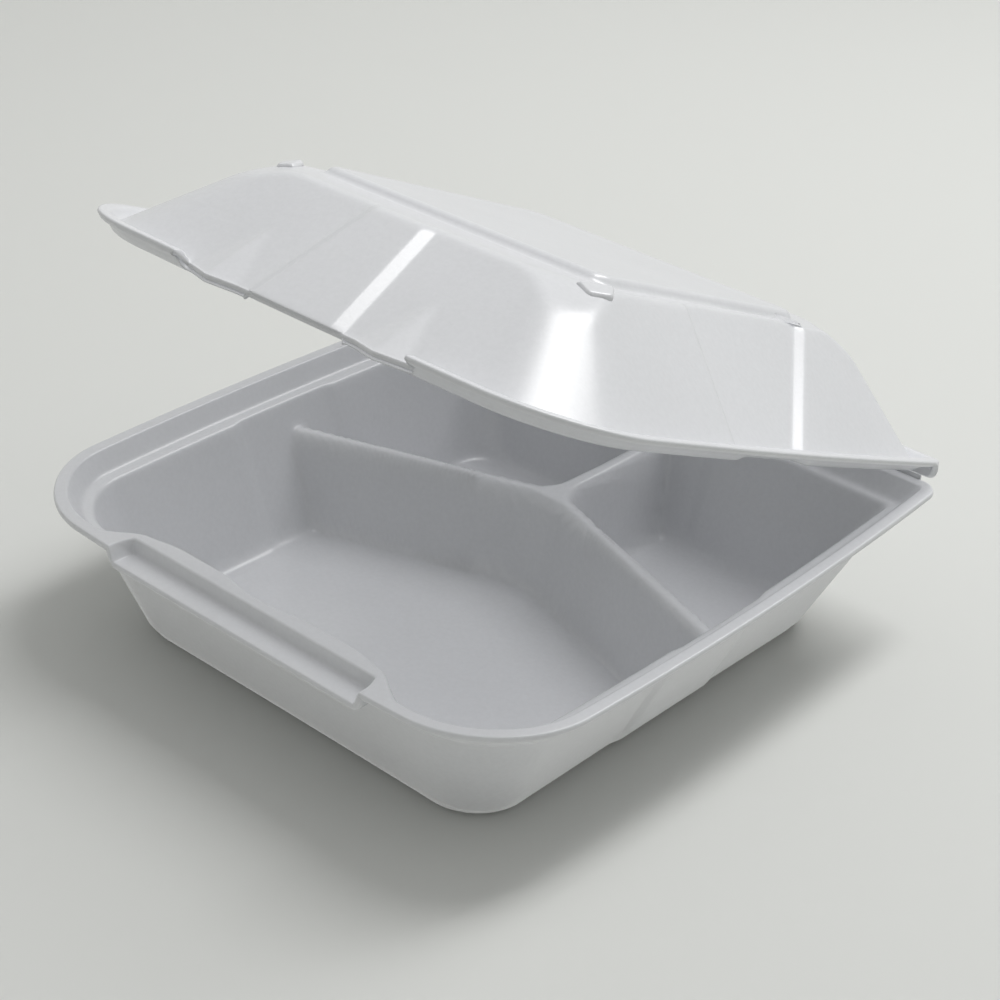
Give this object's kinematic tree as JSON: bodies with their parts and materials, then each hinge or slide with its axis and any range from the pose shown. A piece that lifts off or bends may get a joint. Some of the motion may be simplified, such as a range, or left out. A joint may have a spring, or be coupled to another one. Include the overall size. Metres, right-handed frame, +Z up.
{
  "type": "foam clamshell container",
  "caption": "Hinged white foam take-out container with a divided base, a latch pocket in the front rim and a domed lid standing part open.",
  "frame": {"origin": "middle of the base's underside, where the container stands on a table, midway between the hinge line and the front of the rim", "axes": "+Z up, +X along the hinge, and the latch side faces -Y"},
  "size_m": [0.2106, 0.2213, 0.1545],
  "materials": {
    "foam": "satin"
  },
  "bodies": {
    "base": {"base": "foam"},
    "lid": {"lid": "foam"}
  },
  "joints": [
    {"name": "lid_hinge", "type": "hinge", "parent": "base", "child": "lid", "pos_m": [0, 0.108, 0.0525], "axis": [-1, 0, 0], "range_deg": [-23.4, 155.7]}
  ]
}
